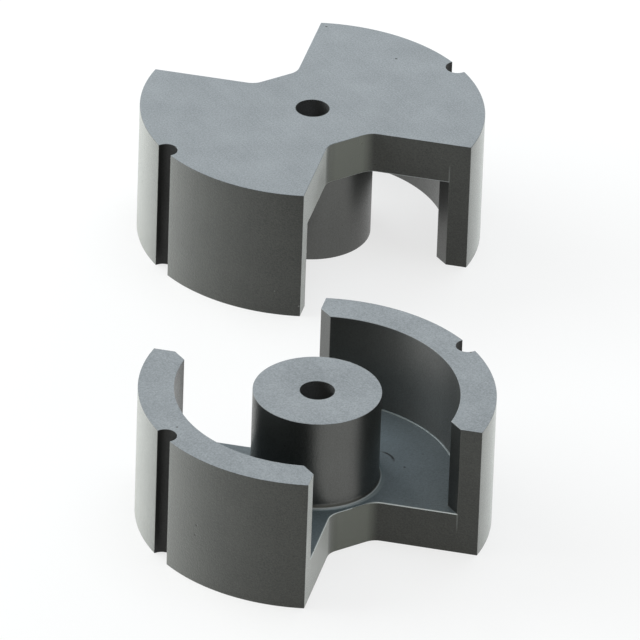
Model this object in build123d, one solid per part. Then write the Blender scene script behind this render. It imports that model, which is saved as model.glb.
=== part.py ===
from build123d import *
import math
import os

# Ferrite core of the PM type, size PM 87/70: two equal halves pressed from
# manganese-zinc ferrite powder, sintered, and ground flat on the mating faces.
# The halves are set down side by side on a bench, square to each other: the
# first lies on its back face with its mating face up, the second stands on its
# mating face with its back face up.
# Millimetres, +Z up. The origin lies on the bench, midway between the axes of
# the two centre holes. In a half's own frame Z is the axis of its centre hole,
# the back face is at z = 0, the skirts lie along X and the cut-outs along Y.

# Driving dimensions
outer_diameter = 87.0       # over the two skirts
winding_diameter = 69.4     # between the inner walls of the skirts
post_diameter = 31.4        # round centre post
hole_diameter = 8.6         # through the post and the base, for a clamp stud
half_height = 35.0          # back face to mating face, so a closed pair is 70
base_thickness = 11.0       # leaves 24 of winding height in each half

neck_width = 35.2           # base left standing between the two side cut-outs
cutout_floor_width = 12.6   # flat at the bottom of a cut-out
flank_angle = 45.0          # of a cut-out's flanks to its centre line, degrees
cutout_corner_radius = 4.5  # where a flank turns into the flat
skirt_end_gap = 41.7        # between the planes that trim the skirts' inner ends

groove_width = 5.6          # locating groove down the middle of each skirt
groove_depth = 3.4

post_root_radius = 1.5      # fillet where the post meets the winding floor
wall_root_radius = 0.4      # fillet where a skirt's inner wall meets the floor

standing_gap = 48.5         # clear distance between the two halves on the bench
standing_bearing = 58.9     # direction from the first half to the second, degrees

outer_radius = outer_diameter / 2
winding_radius = winding_diameter / 2
post_radius = post_diameter / 2
hole_radius = hole_diameter / 2
winding_height = half_height - base_thickness


def side_cutout():
    """One side cut-out in plan: a flat on the neck and two flanks that open outwards."""
    reach = outer_radius
    spread = reach * math.tan(math.radians(flank_angle))
    with BuildSketch() as sketch:
        with BuildLine():
            Polyline(
                (-cutout_floor_width / 2, neck_width / 2),
                (cutout_floor_width / 2, neck_width / 2),
                (cutout_floor_width / 2 + spread, neck_width / 2 + reach),
                (-cutout_floor_width / 2 - spread, neck_width / 2 + reach),
                close=True,
            )
        make_face()
        inner_corners = sketch.vertices().group_by(Axis.Y)[0]
        fillet(inner_corners, radius=cutout_corner_radius)
    return sketch.sketch


def locating_groove():
    """One locating groove in plan: straight walls and a half-round bottom."""
    bottom_centre = outer_radius - groove_depth + groove_width / 2
    with BuildSketch() as sketch:
        with Locations((bottom_centre, 0)):
            Circle(groove_width / 2)
            Rectangle(groove_depth + groove_width, groove_width, align=(Align.MIN, Align.CENTER))
    return sketch.sketch


def outline():
    """The half seen along its axis: a disc less the two cut-outs and the two grooves."""
    with BuildSketch() as sketch:
        Circle(outer_radius)
        for turn in (0, 180):
            add(side_cutout(), rotation=turn, mode=Mode.SUBTRACT)
            add(locating_groove(), rotation=turn, mode=Mode.SUBTRACT)
    return sketch.sketch


def winding_space():
    """Ring-shaped room for the coil, with both roots rounded, open at the mating face."""
    with BuildPart() as part:
        with BuildSketch(Plane.XZ) as section:
            with Locations((post_radius, base_thickness)):
                Rectangle(
                    winding_radius - post_radius,
                    winding_height + post_root_radius,
                    align=(Align.MIN, Align.MIN),
                )
            floor_corners = section.vertices().group_by(Axis.Z)[0].sort_by(Axis.X)
            fillet(floor_corners[0], radius=post_root_radius)
            floor_corners = section.vertices().group_by(Axis.Z)[0].sort_by(Axis.X)
            fillet(floor_corners[-1:], radius=wall_root_radius)
        revolve(axis=Axis.Z)
    return part.part


def core_half():
    """One pressed half, lying on its back face."""
    with BuildPart() as part:
        add(outline())
        extrude(amount=half_height)
        add(winding_space(), mode=Mode.SUBTRACT)
        # The skirts' inner ends are trimmed back to two parallel planes, which
        # leaves a vertical chamfer on each end and clears the way for the leads.
        lead_gap_reach = outer_radius - neck_width / 2
        for side in (-1, 1):
            with Locations((0, side * (neck_width + lead_gap_reach) / 2, base_thickness)):
                Box(
                    skirt_end_gap,
                    lead_gap_reach,
                    winding_height,
                    align=(Align.CENTER, Align.CENTER, Align.MIN),
                    mode=Mode.SUBTRACT,
                )
        with Locations((0, 0, half_height / 2)):
            Cylinder(hole_radius, half_height, mode=Mode.SUBTRACT)
    return part.part


spacing = outer_diameter + standing_gap
offset_x = spacing * math.cos(math.radians(standing_bearing)) / 2
offset_y = spacing * math.sin(math.radians(standing_bearing)) / 2

half = core_half()
parts = {
    "core_half_face_up": Pos(-offset_x, -offset_y, 0) * half,
    "core_half_face_down": Pos(offset_x, offset_y, half_height) * Rot(180, 0, 0) * half,
}

os.makedirs("parts", exist_ok=True)
for name, solid in parts.items():
    solid.label = name
    export_step(solid, f"parts/{name}.step")
    box = solid.bounding_box()
    print(f"{name}: volume {solid.volume / 1000:.2f} cm3, z {box.min.Z:.2f} to {box.max.Z:.2f}")
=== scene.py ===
import math

import bmesh
import bpy
from mathutils import Matrix, Vector


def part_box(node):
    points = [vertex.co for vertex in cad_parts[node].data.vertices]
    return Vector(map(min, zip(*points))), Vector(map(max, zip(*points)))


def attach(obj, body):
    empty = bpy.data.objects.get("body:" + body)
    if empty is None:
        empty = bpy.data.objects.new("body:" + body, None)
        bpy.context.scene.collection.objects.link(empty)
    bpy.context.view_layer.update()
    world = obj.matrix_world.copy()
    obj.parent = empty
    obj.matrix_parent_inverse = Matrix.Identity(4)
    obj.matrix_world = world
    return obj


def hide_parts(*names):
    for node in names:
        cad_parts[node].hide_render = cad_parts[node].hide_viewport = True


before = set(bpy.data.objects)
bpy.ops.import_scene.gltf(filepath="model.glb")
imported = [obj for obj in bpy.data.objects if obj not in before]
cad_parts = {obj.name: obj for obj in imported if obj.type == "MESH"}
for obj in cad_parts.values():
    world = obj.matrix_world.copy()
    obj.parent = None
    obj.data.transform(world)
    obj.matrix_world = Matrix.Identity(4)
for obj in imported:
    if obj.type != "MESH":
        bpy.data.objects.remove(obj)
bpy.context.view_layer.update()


# ---------------------------------------------------------------------------
# Core half: one piece pressed from manganese-zinc ferrite powder, sintered, and
# ground flat on its back and its mating face. A quarter of its plan is drawn, mirrored
# twice, and pulled up in two steps, to the winding floor and to the mating face.
# ---------------------------------------------------------------------------
MM = 0.001
OUTER_RADIUS = 43.5 * MM
WINDING_RADIUS = 34.7 * MM
POST_RADIUS = 15.7 * MM
HOLE_RADIUS = 4.3 * MM
BASE_THICKNESS = 11.0 * MM
HALF_HEIGHT = 35.0 * MM
NECK_HALF_WIDTH = 17.6 * MM
CUTOUT_FLOOR_HALF_WIDTH = 6.3 * MM
CUTOUT_CORNER_RADIUS = 4.5 * MM
FLANK_ANGLE = math.radians(45)
SKIRT_END_X = 20.85 * MM
GROOVE_HALF_WIDTH = 2.8 * MM
GROOVE_DEPTH = 3.4 * MM
POST_ROOT_RADIUS = 1.5 * MM
WALL_ROOT_RADIUS = 0.4 * MM
FLOOR_EDGE_RADIUS = 0.25 * MM
PRESSED_EDGE_RADIUS = 0.15 * MM
GROUND_EDGE_RADIUS = 0.08 * MM
ARC_STEP = math.radians(1.5)
SMALL_ARC_STEP = 6 * ARC_STEP
ROOT_SEGMENTS = 6
EDGE_SEGMENTS = 3
STEEP_CORNER = math.radians(60)
SHARP_CORNER = math.radians(30)
SHORT_EDGE = 0.3 * MM
TINY = 1e-6

# The plan's regions are numbered outwards: the post, the winding floor, the skirt.
FLOOR_REGION = 1

# The half's finishes, in the order of its material slots. The last is painted shade for the bore and the
# grooves.
DIE_DRAWN, PUNCH_DRAWN, WINDING_FLOOR, GROUND, RECESS_PAINTED_SHADE = range(5)


def arc(centre, radius, start, end, step=ARC_STEP):
    """Points on an arc from one angle to another, both ends included."""
    count = max(2, math.ceil(abs(end - start) / step))
    angles = (start + (end - start) * i / count for i in range(count + 1))
    return [Vector((centre[0] + radius * math.cos(a), centre[1] + radius * math.sin(a))) for a in angles]


def plan_quarter():
    """The three regions of the plan's first quarter, each as a closed run of points."""
    right = math.pi / 2
    hole = arc((0, 0), HOLE_RADIUS, 0, right, 2 * ARC_STEP)
    post = arc((0, 0), POST_RADIUS, 0, right)

    # The flank starts at the flat's end and climbs outwards at its own angle.
    slope = Vector((math.sin(FLANK_ANGLE), math.cos(FLANK_ANGLE)))
    knee = Vector((CUTOUT_FLOOR_HALF_WIDTH, NECK_HALF_WIDTH))
    turn = right - FLANK_ANGLE
    tangent = CUTOUT_CORNER_RADIUS * math.tan(turn / 2)
    corner_centre = (knee.x - tangent, knee.y + CUTOUT_CORNER_RADIUS)
    corner = arc(corner_centre, CUTOUT_CORNER_RADIUS, -right, -right + turn, SMALL_ARC_STEP)
    along = knee.dot(slope)
    reach = -along + math.sqrt(along * along - knee.length_squared + OUTER_RADIUS ** 2)
    outer_corner = knee + slope * reach
    trim = knee + slope * ((SKIRT_END_X - knee.x) / slope.x)

    inner_start = math.acos(SKIRT_END_X / WINDING_RADIUS)
    inner_wall = arc((0, 0), WINDING_RADIUS, inner_start, 0)

    outer_start = math.atan2(outer_corner.y, outer_corner.x)
    mouth = math.asin(GROOVE_HALF_WIDTH / OUTER_RADIUS)
    outer_wall = arc((0, 0), OUTER_RADIUS, outer_start, mouth)
    groove_centre = (OUTER_RADIUS - GROOVE_DEPTH + GROOVE_HALF_WIDTH, 0)
    groove = arc(groove_centre, GROOVE_HALF_WIDTH, right, 2 * right, SMALL_ARC_STEP)

    post_region = hole + post[::-1]
    floor_region = post + [Vector((0, NECK_HALF_WIDTH))] + corner + [trim] + inner_wall
    skirt_region = inner_wall[::-1] + [trim] + outer_wall + groove
    return post_region, floor_region, skirt_region


def pulled_up(bm, faces, height):
    """Extrudes a flat region upwards and returns its new top faces."""
    edges = dict.fromkeys(e for f in faces for e in f.edges)
    made = bmesh.ops.extrude_face_region(bm, geom=[*faces, *edges])["geom"]
    verts = [g for g in made if isinstance(g, bmesh.types.BMVert)]
    bmesh.ops.translate(bm, verts=verts, vec=(0, 0, height))
    return [g for g in made if isinstance(g, bmesh.types.BMFace)]


def rounded_root(bm, radius_of_wall, root_radius):
    """Fillets the edges where a round wall meets the winding floor."""
    edges = [
        e for e in bm.edges
        if all(abs(v.co.z - BASE_THICKNESS) < TINY for v in e.verts)
        and all(abs(v.co.xy.length - radius_of_wall) < TINY for v in e.verts)
        and e.calc_face_angle(0) > STEEP_CORNER
    ]
    bmesh.ops.bevel(bm, geom=edges, offset=root_radius, offset_type="OFFSET", segments=ROOT_SEGMENTS,
                    profile=0.5, affect="EDGES", clamp_overlap=False, material=-1)


def edge_radius(edge):
    """How far each sharp edge is rounded: the ground face's least, the floor's rim most."""
    if edge.calc_face_angle(0) < SHARP_CORNER or edge.calc_length() < SHORT_EDGE:
        return 0.0
    heights = [v.co.z for v in edge.verts]
    if min(heights) > HALF_HEIGHT - TINY:
        return GROUND_EDGE_RADIUS
    on_floor = all(abs(z - BASE_THICKNESS) < TINY for z in heights)
    if on_floor and edge.is_convex:
        return FLOOR_EDGE_RADIUS
    return PRESSED_EDGE_RADIUS


def finish_of(face):
    """Which of the half's finishes a face has, from the tool that shaped it. The bore and the grooves take
    the painted-shade finish.
    """
    centre = face.calc_center_median()
    from_axis = centre.xy.length
    # The bore takes a dull, near-black finish: painted shade in this recess.
    if from_axis < HOLE_RADIUS + TINY:
        return RECESS_PAINTED_SHADE
    if abs(face.normal.z) > 1 - TINY:
        return WINDING_FLOOR if abs(centre.z - BASE_THICKNESS) < TINY else GROUND
    if centre.z > BASE_THICKNESS and from_axis < WINDING_RADIUS + TINY:
        at_wall_root = face.normal.z > TINY and from_axis > (POST_RADIUS + WINDING_RADIUS) / 2
        return WINDING_FLOOR if at_wall_root else PUNCH_DRAWN
    at_skirt_end = abs(abs(centre.x) - SKIRT_END_X) < TINY
    # Painted shade: the grooves take the same dull finish as the bore.
    in_groove = abs(centre.y) < GROOVE_HALF_WIDTH and from_axis < OUTER_RADIUS - TINY
    if in_groove:
        return RECESS_PAINTED_SHADE
    return PUNCH_DRAWN if at_skirt_end else DIE_DRAWN


def core_half_mesh():
    """One half on its back face, with its hole's axis on Z."""
    bm = bmesh.new()
    region = bm.faces.layers.int.new("region")
    for number, points in enumerate(plan_quarter()):
        ring = []
        for p in points:
            if not ring or (ring[-1].co.xy - p).length > TINY:
                ring.append(bm.verts.new((p.x, p.y, 0)))
        bm.faces.new(ring)[region] = number
    bmesh.ops.remove_doubles(bm, verts=bm.verts, dist=TINY)
    for axis in ("X", "Y"):
        bmesh.ops.mirror(bm, geom=bm.verts[:] + bm.edges[:] + bm.faces[:], axis=axis, merge_dist=TINY)
        bmesh.ops.remove_doubles(bm, verts=bm.verts, dist=TINY)
    bmesh.ops.recalc_face_normals(bm, faces=bm.faces)

    floor_level = pulled_up(bm, bm.faces[:], BASE_THICKNESS)
    raised = [f for f in floor_level if f[region] != FLOOR_REGION]
    pulled_up(bm, raised, HALF_HEIGHT - BASE_THICKNESS)
    bmesh.ops.recalc_face_normals(bm, faces=bm.faces)

    rounded_root(bm, POST_RADIUS, POST_ROOT_RADIUS)
    rounded_root(bm, WINDING_RADIUS, WALL_ROOT_RADIUS)

    weight = bm.edges.layers.float.new("bevel_weight_edge")
    for edge in bm.edges:
        edge[weight] = edge_radius(edge) / FLOOR_EDGE_RADIUS
    for face in bm.faces:
        face.smooth = True
        face.material_index = finish_of(face)
    mesh = bpy.data.meshes.new("core_half")
    bm.to_mesh(mesh)
    bm.free()
    return mesh


def linear(hex_colour):
    """An sRGB hex colour as linear red, green, blue and alpha."""
    channels = (int(hex_colour[i:i + 2], 16) / 255 for i in (1, 3, 5))
    return [c / 12.92 if c <= 0.04045 else ((c + 0.055) / 1.055) ** 2.4 for c in channels] + [1.0]


def add_node(tree, kind, inputs=None, **settings):
    """Adds a shader node with its settings. An input given another node's output is linked to it."""
    node = tree.nodes.new("ShaderNode" + kind)
    for name, value in settings.items():
        setattr(node, name, value)
    for key, value in (inputs or {}).items():
        if isinstance(value, bpy.types.NodeSocket):
            tree.links.new(value, node.inputs[key])
        else:
            node.inputs[key].default_value = value
    return node


def blend_of_patterns(tree, patterns):
    """Adds patterns that each swing around 0.5, every one by its own share."""
    total = 0.5
    for pattern, share in patterns:
        swing = add_node(tree, "Math", {0: pattern, 1: 0.5}, operation="SUBTRACT").outputs[0]
        total = add_node(tree, "Math", {0: swing, 1: share, 2: total}, operation="MULTIPLY_ADD").outputs[0]
    return total


def product_of(tree, *masks):
    """Multiplies masks, and shares between 0 and 1, together."""
    total = masks[0]
    for mask in masks[1:]:
        total = add_node(tree, "Math", {0: total, 1: mask}, operation="MULTIPLY").outputs[0]
    return total


def band(tree, value, middle, half_width):
    """1 where a value is within a half width of the middle, with a soft edge, and 0 outside."""
    offset = add_node(tree, "Math", {0: value, 1: middle}, operation="SUBTRACT").outputs[0]
    distance = add_node(tree, "Math", {0: offset}, operation="ABSOLUTE").outputs[0]
    softness = 0.4 * half_width
    return add_node(tree, "MapRange", {"Value": distance, "From Min": half_width + softness,
                                       "From Max": half_width - softness}).outputs[0]


def spots(tree, own, spacing, radius, share):
    """Round spots with a soft edge: a share of the cells of a given spacing holds one."""
    cells = add_node(tree, "TexVoronoi", {"Vector": own, "Scale": 1 / spacing})
    solid_radius = radius / 2
    inside = add_node(tree, "MapRange", {"Value": cells.outputs["Distance"], "From Min": radius / spacing,
                                         "From Max": solid_radius / spacing}).outputs[0]
    lot = add_node(tree, "SeparateColor", {"Color": cells.outputs["Color"]}).outputs[0]
    chosen = add_node(tree, "Math", {0: lot, 1: share}, operation="LESS_THAN").outputs[0]
    return product_of(tree, inside, chosen)


# Each finish is named for how the tool or the grinding wheel left the ferrite, save the last, which is
# painted shade in the bore and the grooves. Dark and light are the ends of its mottled colour, and speck is
# a grain that shines out. The gloss and the sheen take a tint.
# Grain, cloud and lines say how strongly each shows, and line_size is a line's size along X, Y and Z.
# Relief is the depth of it all. Pits and specks are the shares of their cells that hold one.
LONG = 60.0 * MM
FINISHES = {
    # The die's wall leaves a nearly black skin with faint upright lines. It pales at grazing angles.
    DIE_DRAWN: {
        "way": "die-drawn",
        "dark": "#070807", "light": "#2c2d29", "speck": "#6c706e", "tint": "#fdfef9",
        "roughness": 0.35, "ior": 1.4, "sheen": 1.0,
        "grain": 1.2, "cloud": 0.4, "lines": 0.1, "line_size": (1.2 * MM, 1.2 * MM, LONG),
        "relief": 0.05 * MM, "pits": 0.12, "specks": 0.03,
    },
    # The punch burnishes the post and the skirts' inner walls, so they show the glossiest, darkest skin.
    PUNCH_DRAWN: {
        "way": "punch-drawn",
        "dark": "#070808", "light": "#292c2c", "speck": "#5c6161", "tint": "#fcfdf8",
        "roughness": 0.35, "ior": 2.0, "sheen": 0.0,
        "grain": 1.1, "cloud": 0.4, "lines": 0.1, "line_size": (1.2 * MM, 1.2 * MM, LONG),
        "relief": 0.045 * MM, "pits": 0.08, "specks": 0.02,
    },
    # The punch's end presses the winding floor flat: an even blue-grey with a satin gloss and no lines.
    WINDING_FLOOR: {
        "way": "punched",
        "dark": "#2c3a40", "light": "#4d5c62", "speck": "#8b9698", "tint": "#f7fcff",
        "roughness": 0.5, "ior": 1.8, "sheen": 0.4,
        "grain": 0.8, "cloud": 0.4,
        "relief": 0.05 * MM, "pits": 0.06, "specks": 0.05,
    },
    # Grinding opens the grains of the mating face and the back: matt, pale and faintly clouded.
    GROUND: {
        "way": "ground",
        "dark": "#5a6064", "light": "#858a8e", "speck": "#b4babc", "tint": "#fafdff",
        "roughness": 0.6, "ior": 1.4, "sheen": 0.6,
        "grain": 0.85, "cloud": 0.34, "lines": 0.12, "line_size": (0.8 * MM, LONG, LONG),
        "relief": 0.035 * MM, "pits": 0.05, "specks": 0.05,
    },
    # The core rod and the die's ribs shape the bore and the grooves. This finish is a dull, almost black
    # copy of the ferrite that stands in for the shade inside them: painted shade.
    RECESS_PAINTED_SHADE: {
        "way": "rod-drawn, painted-shade",
        "dark": "#0c0c0b", "light": "#20211f", "tint": "#ffffff",
        "roughness": 0.55, "ior": 1.45, "sheen": 0.0,
        "grain": 0.8, "cloud": 0.4, "lines": 0.1, "line_size": (1.2 * MM, 1.2 * MM, LONG),
        "relief": 0.1 * MM,
    },
}

# Sintered grains are about 0.01 mm, pits and tool lines about 0.1 mm. All are drawn coarser so that they
# show.
GRAIN = 0.4 * MM
CLOUD = 11.0 * MM
PIT_SPACING, PIT_RADIUS, PIT_COLOUR = 3.5 * MM, 0.42 * MM, "#050505"
SPECK_SPACING, SPECK_RADIUS = 5.0 * MM, 0.35 * MM
DARKEST_TONE, LIGHTEST_TONE = 0.3, 0.7
ROUGHNESS_SWING = 0.06
SHEEN_ROUGHNESS = 0.5
PLAIN_SPECULAR_LEVEL = 0.5
DENT_DEPTH = 0.8

# At the post's root: a dark line of painted shade in the crease and a fine light line of painted highlight.
PUNCH_JOINT_RADIUS = POST_RADIUS + 0.5 * MM
JOINT_HIGHLIGHT_HALF_WIDTH, JOINT_HIGHLIGHT_SHARE = 0.12 * MM, 0.3
JOINT_SHADE_HALF_WIDTH, JOINT_SHADE_COLOUR = 0.15 * MM, "#030303"
JOINT_SHADE_INSET = 0.25 * MM
# Painted highlights for the rounded edges and the wall's root, and painted light for the neck.
PAINTED_HIGHLIGHT, PAINTED_ROOT_HIGHLIGHT, PAINTED_NECK_LIGHT = "#e4eaea", "#59625f", "#64675f"
LEAN, LEAN_SPREAD = 0.6, 0.38
RIM_DROP, RIM_HALF_HEIGHT = 0.18 * MM, 0.14 * MM
ROOT_INSET, ROOT_HALF_WIDTH = 0.05 * MM, 0.22 * MM
NECK_SPREAD_START, NECK_SPREAD_END = 0.1 * MM, 0.8 * MM


def post_joint_shade_and_highlight(tree, from_axis):
    """Where the post's own punch met the ring punch, in the root's crease: painted shade, a fine painted
    highlight, then the floor's colour.
    """
    outside = add_node(tree, "MapRange", {"Value": from_axis, "From Min": PUNCH_JOINT_RADIUS - JOINT_SHADE_INSET,
                                          "From Max": PUNCH_JOINT_RADIUS}).outputs[0]
    at_post = add_node(tree, "Math", {0: from_axis, 1: POST_RADIUS + 2 * POST_ROOT_RADIUS},
                       operation="LESS_THAN").outputs[0]
    joint_shade = band(tree, from_axis, PUNCH_JOINT_RADIUS - JOINT_SHADE_INSET, JOINT_SHADE_HALF_WIDTH)
    joint_highlight = band(tree, from_axis, PUNCH_JOINT_RADIUS, JOINT_HIGHLIGHT_HALF_WIDTH)
    return [
        (product_of(tree, outside, at_post), FINISHES[WINDING_FLOOR]["light"]),
        (joint_shade, JOINT_SHADE_COLOUR),
        (product_of(tree, joint_highlight, JOINT_HIGHLIGHT_SHARE), PAINTED_HIGHLIGHT),
    ]


def rounded_edges(tree):
    """1 on rounded edges, the only faces that lean between upright and level."""
    facing = add_node(tree, "NewGeometry").outputs["True Normal"]
    upward = add_node(tree, "SeparateXYZ", {0: facing}).outputs["Z"]
    steepness = add_node(tree, "Math", {0: upward}, operation="ABSOLUTE").outputs[0]
    return add_node(tree, "Math", {0: steepness, 1: LEAN, 2: LEAN_SPREAD}, operation="COMPARE").outputs[0]


def floor_edge_highlights(tree, number, height, from_axis, half):
    """Painted highlights: the winding floor's rim is painted bright, most on the half that shows it, and its
    root less.
    """
    leaning = rounded_edges(tree)
    at_rim = band(tree, height, BASE_THICKNESS - RIM_DROP, RIM_HALF_HEIGHT)
    # The painted highlight is stronger on the face-up half and fainter on the face-down one.
    highlight_strength = 1.0 if half == "face up" else 0.35
    layers = [(product_of(tree, leaning, at_rim, highlight_strength), PAINTED_HIGHLIGHT)]
    if number == WINDING_FLOOR:
        at_root = band(tree, from_axis, WINDING_RADIUS - ROOT_INSET, ROOT_HALF_WIDTH)
        layers.append((product_of(tree, leaning, at_root), PAINTED_ROOT_HIGHLIGHT))
    return layers


SCUFF_CENTRE, SCUFF_RADIUS = (15.7 * MM, -1.9 * MM, BASE_THICKNESS), 5.1 * MM
SCUFF_MIDDLE, SCUFF_HALF_ANGLE = math.radians(5), math.radians(27)
SCUFF_HALF_WIDTH, SCUFF_COLOUR = 0.3 * MM, "#010202"


def scuff(tree, own):
    """A short curved scuff beside the post, on one winding floor only."""
    around = add_node(tree, "VectorMath", {0: own, 1: SCUFF_CENTRE}, operation="SUBTRACT").outputs[0]
    sides = add_node(tree, "SeparateXYZ", {0: around}).outputs
    angle = add_node(tree, "Math", {0: sides["Y"], 1: sides["X"]}, operation="ARCTAN2").outputs[0]
    reach = add_node(tree, "VectorMath", {0: around}, operation="LENGTH").outputs["Value"]
    return product_of(tree, band(tree, reach, SCUFF_RADIUS, SCUFF_HALF_WIDTH),
                      band(tree, angle, SCUFF_MIDDLE, SCUFF_HALF_ANGLE))


WITNESS_LENGTH = 5.5 * MM
WITNESS_HALF_WIDTH, WITNESS_SHARE, WITNESS_COLOUR = 0.12 * MM, 0.2, "#a9aeab"


def neck_light_and_witness_line(tree, axes):
    """Painted light makes the neck lighter, and below the winding floor a witness line carries on each skirt
    end.
    """
    across = add_node(tree, "Math", {0: axes["X"]}, operation="ABSOLUTE").outputs[0]
    aside = add_node(tree, "Math", {0: axes["Y"]}, operation="ABSOLUTE").outputs[0]
    inward = add_node(tree, "MapRange", {"Value": aside, "From Min": NECK_HALF_WIDTH + NECK_SPREAD_END,
                                         "From Max": NECK_HALF_WIDTH + NECK_SPREAD_START}).outputs[0]
    at_neck = band(tree, across, 0.0, CUTOUT_FLOOR_HALF_WIDTH)

    fade = add_node(tree, "MapRange", {"Value": axes["Z"], "From Min": BASE_THICKNESS - WITNESS_LENGTH,
                                       "From Max": BASE_THICKNESS - WITNESS_LENGTH / 2}).outputs[0]
    below = add_node(tree, "Math", {0: axes["Z"], 1: BASE_THICKNESS}, operation="LESS_THAN").outputs[0]
    at_skirt_end = band(tree, across, SKIRT_END_X, WITNESS_HALF_WIDTH)
    return [
        (product_of(tree, inward, at_neck), PAINTED_NECK_LIGHT),
        (product_of(tree, at_skirt_end, fade, below, WITNESS_SHARE), WITNESS_COLOUR),
    ]


def ferrite_finish(number, half, place):
    """One finish of the sintered ferrite, its pattern held in the half's own axes."""
    finish = FINISHES[number]
    material = bpy.data.materials.new(f"{finish['way']} ferrite, {half}")
    material.use_nodes = True
    tree = material.node_tree
    shader = tree.nodes["Principled BSDF"]
    shader.inputs["IOR"].default_value = finish["ior"]
    shader.inputs["Sheen Weight"].default_value = finish["sheen"]
    shader.inputs["Sheen Roughness"].default_value = SHEEN_ROUGHNESS
    shader.inputs["Sheen Tint"].default_value = linear(finish["tint"])
    shader.inputs["Specular Tint"].default_value = linear(finish["tint"])

    own_axes = place.inverted()
    on_piece = add_node(tree, "TexCoord").outputs["Object"]
    own = add_node(tree, "Mapping", {"Vector": on_piece, "Location": own_axes.to_translation(),
                                     "Rotation": own_axes.to_euler()}).outputs[0]
    axes = add_node(tree, "SeparateXYZ", {0: own}).outputs
    flat = add_node(tree, "CombineXYZ", {"X": axes["X"], "Y": axes["Y"]}).outputs[0]
    from_axis = add_node(tree, "VectorMath", {0: flat}, operation="LENGTH").outputs["Value"]

    grain = add_node(tree, "TexNoise", {"Vector": own, "Scale": 1 / GRAIN, "Detail": 3.0, "Roughness": 0.6})
    cloud = add_node(tree, "TexNoise", {"Vector": own, "Scale": 1 / CLOUD, "Detail": 4.0, "Roughness": 0.55})
    patterns = [(grain.outputs["Fac"], finish["grain"]), (cloud.outputs["Fac"], finish["cloud"])]
    if "lines" in finish:
        per_line = [1 / size for size in finish["line_size"]]
        along = add_node(tree, "Mapping", {"Vector": own, "Scale": per_line}).outputs[0]
        lines = add_node(tree, "TexNoise", {"Vector": along, "Scale": 1.0, "Detail": 2.0})
        patterns.append((lines.outputs["Fac"], finish["lines"]))
    tone = blend_of_patterns(tree, patterns)
    paleness = add_node(tree, "MapRange", {"Value": tone, "From Min": DARKEST_TONE,
                                           "From Max": LIGHTEST_TONE}).outputs[0]

    # Each layer is a mask and the colour that it lays over the ones before.
    layers = [(paleness, finish["light"])]
    dents = []
    if "pits" in finish:
        pits = spots(tree, own, PIT_SPACING, PIT_RADIUS, finish["pits"])
        specks = spots(tree, own, SPECK_SPACING, SPECK_RADIUS, finish["specks"])
        layers += [(pits, PIT_COLOUR), (specks, finish["speck"])]
        dents.append(pits)
    # Painted shade and a painted highlight where the post meets the floor.
    if number == PUNCH_DRAWN:
        layers += post_joint_shade_and_highlight(tree, from_axis)
    # Painted highlights on the winding floor's rim and the wall's root.
    if number in (DIE_DRAWN, WINDING_FLOOR):
        layers += floor_edge_highlights(tree, number, axes["Z"], from_axis, half)
    if number == WINDING_FLOOR and half == "face up":
        scuffed = scuff(tree, own)
        layers.append((scuffed, SCUFF_COLOUR))
        dents.append(scuffed)
    # Painted light on the neck, and the witness lines below the winding floor.
    if number == DIE_DRAWN:
        layers += neck_light_and_witness_line(tree, axes)
    colour = linear(finish["dark"])
    for mask, hex_colour in layers:
        over = {0: mask, 6: colour, 7: linear(hex_colour)}
        colour = add_node(tree, "Mix", over, data_type="RGBA").outputs[2]
    tree.links.new(colour, shader.inputs["Base Color"])

    dullest = finish["roughness"] + ROUGHNESS_SWING
    glossiest = finish["roughness"] - ROUGHNESS_SWING
    roughness = add_node(tree, "MapRange", {"Value": paleness, "To Min": dullest, "To Max": glossiest})
    tree.links.new(roughness.outputs[0], shader.inputs["Roughness"])

    # A pit or a scuff is sunk in and holds no gloss.
    height = tone
    if dents:
        sunk = dents[0]
        for dent in dents[1:]:
            sunk = add_node(tree, "Math", {0: sunk, 1: dent}, operation="MAXIMUM").outputs[0]
        gloss = add_node(tree, "Math", {0: sunk, 1: -PLAIN_SPECULAR_LEVEL, 2: PLAIN_SPECULAR_LEVEL},
                         operation="MULTIPLY_ADD").outputs[0]
        tree.links.new(gloss, shader.inputs["Specular IOR Level"])
        height = add_node(tree, "Math", {0: sunk, 1: -DENT_DEPTH, 2: tone},
                          operation="MULTIPLY_ADD").outputs[0]
    bump = add_node(tree, "Bump", {"Height": height, "Distance": finish["relief"], "Strength": 1.0})
    tree.links.new(bump.outputs[0], shader.inputs["Normal"])
    return material


def add_core_half(name, node, turned_over):
    """Puts a half where its CAD solid stands, rounds its edges and lets it stand for the solid."""
    low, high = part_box(node)
    centre = (Vector(low) + Vector(high)) / 2
    mesh = core_half_mesh()
    place = Matrix.Translation((centre.x, centre.y, low[2]))
    if turned_over:
        place = Matrix.Translation((centre.x, centre.y, high[2])) @ Matrix.Rotation(math.pi, 4, "X")
    mesh.transform(place)
    piece = bpy.data.objects.new(name, mesh)
    bpy.context.scene.collection.objects.link(piece)
    rounding = piece.modifiers.new("edge rounding", "BEVEL")
    rounding.limit_method = "WEIGHT"
    rounding.width = FLOOR_EDGE_RADIUS
    rounding.segments = EDGE_SEGMENTS
    rounding.use_clamp_overlap = False
    normals = piece.modifiers.new("flat faces stay flat", "WEIGHTED_NORMAL")
    normals.keep_sharp = True
    half = "face down" if turned_over else "face up"
    for number in FINISHES:
        mesh.materials.append(ferrite_finish(number, half, place))
    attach(piece, "root")
    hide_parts(node)


add_core_half("ferrite_half_face_up", "core_half_face_up", turned_over=False)
add_core_half("ferrite_half_face_down", "core_half_face_down", turned_over=True)


# ---------------------------------------------------------------------------
# Floor: a plain pale sweep under the halves. It is painted white, and the eye and
# a reflection see it part lit from below, as a light table, so shadows stay faint.
# ---------------------------------------------------------------------------
FLOOR_HALF_SIZE = 6.0
TABLE_GLOW = 0.72

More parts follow.
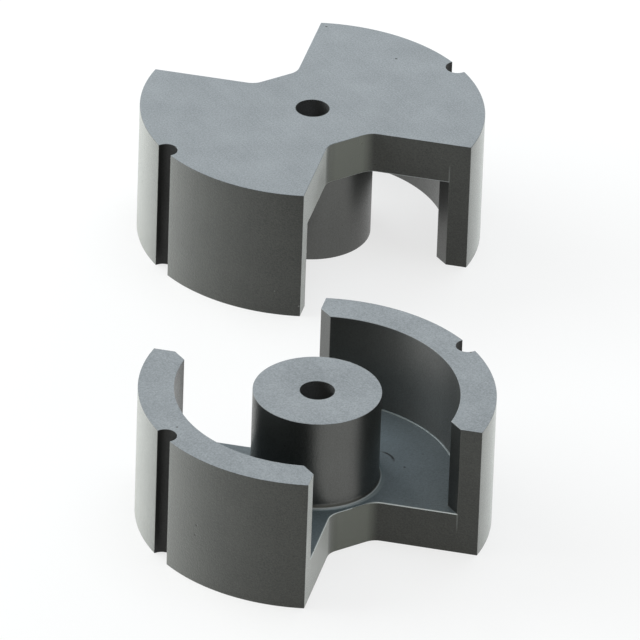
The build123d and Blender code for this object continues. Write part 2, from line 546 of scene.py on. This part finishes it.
bm = bmesh.new()
bmesh.ops.create_grid(bm, x_segments=1, y_segments=1, size=FLOOR_HALF_SIZE)
floor_mesh = bpy.data.meshes.new("floor")
bm.to_mesh(floor_mesh)
bm.free()
floor = bpy.data.objects.new("floor", floor_mesh)
bpy.context.scene.collection.objects.link(floor)

# Matt white paint: it takes a soft shadow and shows no highlight.
floor_paint = bpy.data.materials.new("matt floor paint, rolled")
floor_paint.use_nodes = True
tree = floor_paint.node_tree
paint = tree.nodes["Principled BSDF"]
paint.inputs["Base Color"].default_value = linear("#fcfcfb")
paint.inputs["Roughness"].default_value = 0.9
paint.inputs["Specular IOR Level"].default_value = 0.0
rays = add_node(tree, "LightPath").outputs
seen = rays["Is Camera Ray"]
for kind in ("Is Glossy Ray", "Is Transmission Ray"):
    seen = add_node(tree, "Math", {0: seen, 1: rays[kind]}, operation="MAXIMUM").outputs[0]
glow = add_node(tree, "Emission", {"Color": linear("#ffffff"), "Strength": 1.0}).outputs[0]
blend = add_node(tree, "MixShader", {0: product_of(tree, seen, TABLE_GLOW), 1: paint.outputs[0], 2: glow})
tree.links.new(blend.outputs[0], tree.nodes["Material Output"].inputs["Surface"])
floor_mesh.materials.append(floor_paint)


# ---------------------------------------------------------------------------
# Light and camera: four softboxes round the pair, the strongest low on the left,
# with a dim even fill. A long lens looks down on the pair from the front left.
# ---------------------------------------------------------------------------
CAMERA_AZIMUTH = -32.67
CAMERA_ELEVATION = 31.24
CAMERA_DISTANCE = 3.0
CAMERA_ROLL = 2.02
CAMERA_LENS = 682.7
CAMERA_REACH = 100.0
AIM = Vector((-1.64 * MM, -6.07 * MM, HALF_HEIGHT / 2))
LAMP_DISTANCE = 1.4
FILL_LIGHT = (0.48, 0.48, 0.45, 1.0)


def direction(azimuth, elevation):
    """The unit vector towards an azimuth, with 0 on the -Y side and growing to the right."""
    a, e = math.radians(azimuth), math.radians(elevation)
    return Vector((math.sin(a) * math.cos(e), -math.cos(a) * math.cos(e), math.sin(e)))


def softbox(name, azimuth, elevation, width, height, brightness, colour):
    """A large soft light aimed at the pair. Azimuth 0 is the camera's, negative is to its left."""
    away = direction(CAMERA_AZIMUTH + azimuth, elevation)
    light = bpy.data.lights.new(name, "AREA")
    light.shape = "RECTANGLE"
    light.size, light.size_y = width, height
    light.energy = math.pi * width * height * brightness
    light.color = linear(colour)[:3]
    lamp = bpy.data.objects.new(name, light)
    lamp.location = away * LAMP_DISTANCE
    lamp.rotation_mode = "QUATERNION"
    lamp.rotation_quaternion = away.to_track_quat("Z", "Y")
    lamp.visible_camera = False
    bpy.context.scene.collection.objects.link(lamp)


softbox("left softbox", -112, 18, 1.9, 1.0, 5.4, "#f6fcff")
softbox("back softbox", 178, 19, 0.9, 0.7, 1.1, "#eaf5ff")
softbox("back right softbox", 147, 16, 1.0, 0.6, 3.1, "#eef6ff")
softbox("top softbox", 120, 78, 1.0, 0.8, 1.8, "#e6f1ff")

world = bpy.data.worlds.new("studio")
bpy.context.scene.world = world
world.use_nodes = True
world.node_tree.nodes["Background"].inputs["Color"].default_value = FILL_LIGHT

camera_data = bpy.data.cameras.new("camera")
camera_data.lens = CAMERA_LENS
camera_data.clip_end = CAMERA_REACH
camera = bpy.data.objects.new("camera", camera_data)
back = direction(CAMERA_AZIMUTH, CAMERA_ELEVATION)
camera.location = AIM + back * CAMERA_DISTANCE
camera.rotation_mode = "QUATERNION"
roll = Matrix.Rotation(math.radians(CAMERA_ROLL), 4, "Z").to_quaternion()
camera.rotation_quaternion = (-back).to_track_quat("-Z", "Y") @ roll
bpy.context.scene.collection.objects.link(camera)
bpy.context.scene.camera = camera
bpy.context.scene.view_settings.view_transform = "Standard"
